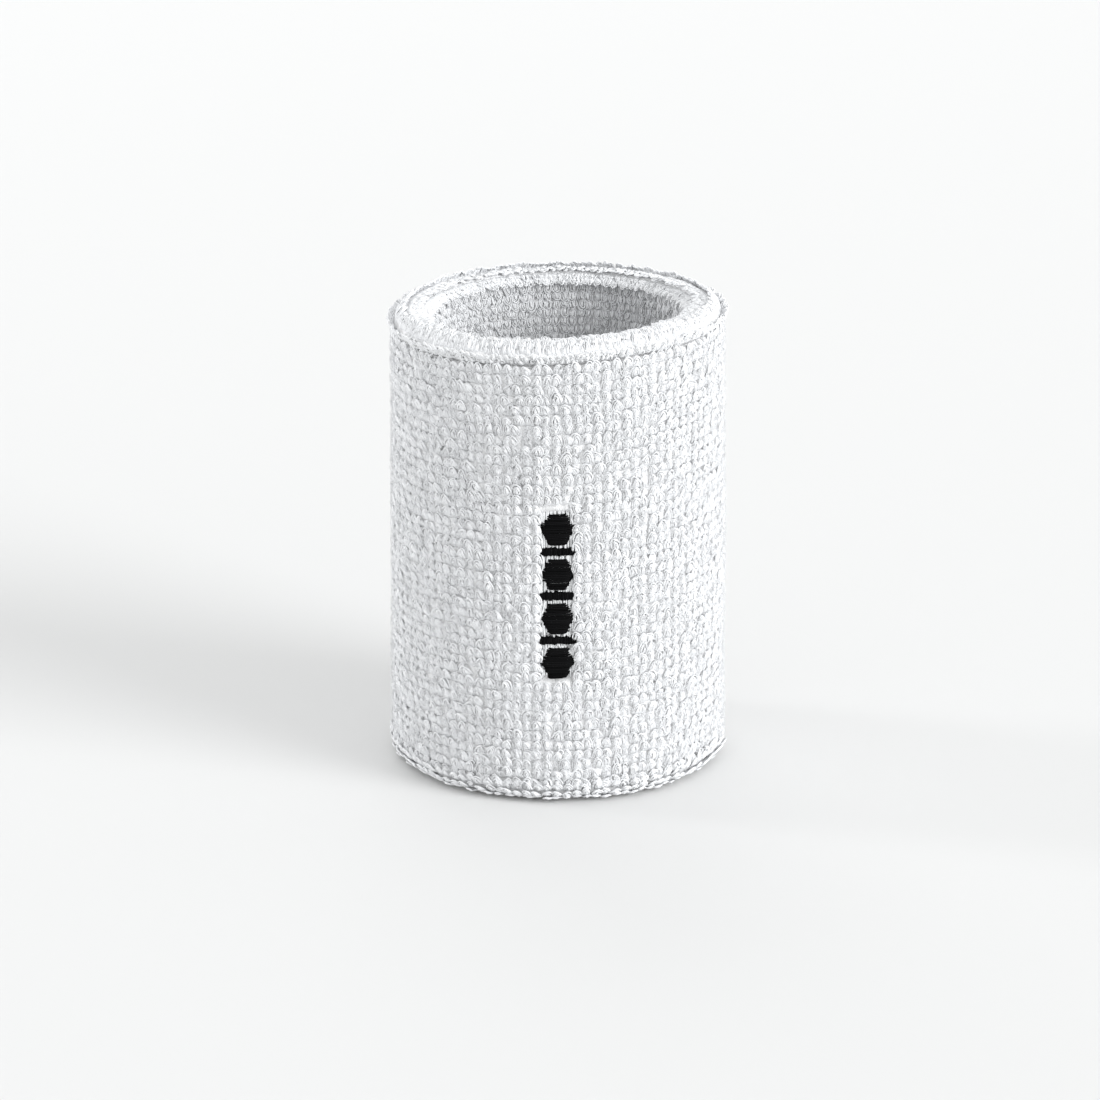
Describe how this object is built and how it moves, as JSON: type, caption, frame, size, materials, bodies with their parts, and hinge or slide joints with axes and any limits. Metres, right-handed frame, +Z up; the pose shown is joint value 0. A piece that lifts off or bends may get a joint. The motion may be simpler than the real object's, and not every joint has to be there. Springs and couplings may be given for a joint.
{
  "type": "sweat wristband",
  "caption": "Tubular double-layer elastic terry wristband with a rolled top edge, a closing seam under it and a small embroidered column of geometric shapes on the front.",
  "frame": {"origin": "centre of the ring that the band stands on, at floor level", "axes": "+Z up along the tube, -Y towards the front with the embroidered mark, +X to the right seen from the front"},
  "size_m": [0.057, 0.057, 0.0813],
  "materials": {
    "terry_cotton": "matt looped cotton pile",
    "ground_knit": "matt fine knit",
    "elastic_yarn": "satin covered elastic yarn",
    "nonwoven_backing": "matt non-woven sheet",
    "sewing_thread": "semi-matt polyester thread",
    "white_embroidery_thread": "satin embroidery thread",
    "black_embroidery_thread": "satin embroidery thread"
  },
  "bodies": {
    "root": {"outer_terry_pile": "terry_cotton", "outer_ground_knit": "ground_knit", "outer_elastic_yarn": "elastic_yarn", "inner_elastic_yarn": "elastic_yarn", "inner_ground_knit": "ground_knit", "inner_terry_pile": "terry_cotton", "top_rolled_edge": "terry_cotton", "bottom_folded_edge": "terry_cotton", "seam_needle_thread": "sewing_thread", "seam_looper_thread": "sewing_thread", "embroidery_backing": "nonwoven_backing", "embroidery_bobbin_thread": "white_embroidery_thread", "embroidery_underlay": "white_embroidery_thread", "mark_lozenge_1": "black_embroidery_thread", "mark_lozenge_2": "black_embroidery_thread", "mark_lozenge_3": "black_embroidery_thread", "mark_lozenge_4": "black_embroidery_thread", "mark_bar_1": "black_embroidery_thread", "mark_bar_2": "black_embroidery_thread", "mark_bar_3": "black_embroidery_thread"}
  },
  "joints": []
}
